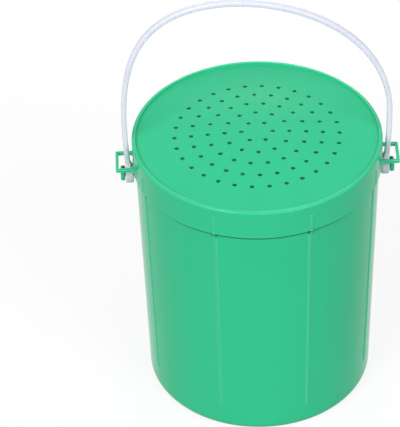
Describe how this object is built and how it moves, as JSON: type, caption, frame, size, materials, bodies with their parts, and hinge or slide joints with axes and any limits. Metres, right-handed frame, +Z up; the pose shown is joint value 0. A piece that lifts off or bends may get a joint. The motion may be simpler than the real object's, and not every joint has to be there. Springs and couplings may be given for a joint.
{
  "type": "bait bucket",
  "caption": "Round tapered plastic bucket with a domed perforated push-on lid and an arched carrying strap that swings on side rivets and passes through loops on the lid.",
  "frame": {"origin": "centre of the bucket's standing ring, on the surface it stands on", "axes": "+Z up along the bucket's axis; X runs through both rivets and both lid loops; Y is the way the strap swings"},
  "size_m": [0.1362, 0.12, 0.2199],
  "materials": {
    "shell": "semi-gloss moulded polypropylene",
    "strap": "milky translucent soft polyethylene"
  },
  "bodies": {
    "bucket": {"bucket": "shell", "rivet_left": "shell", "rivet_right": "shell"},
    "lid": {"lid": "shell"},
    "handle": {"handle": "strap"}
  },
  "joints": [
    {"name": "lid_lift", "type": "slide", "parent": "bucket", "child": "lid", "axis": [0, 0, 1], "range_m": [0, 0.02]},
    {"name": "handle_swing", "type": "hinge", "parent": "bucket", "child": "handle", "pos_m": [0, 0, 0.1214], "axis": [1, 0, 0], "range_deg": [-25, 25]}
  ]
}
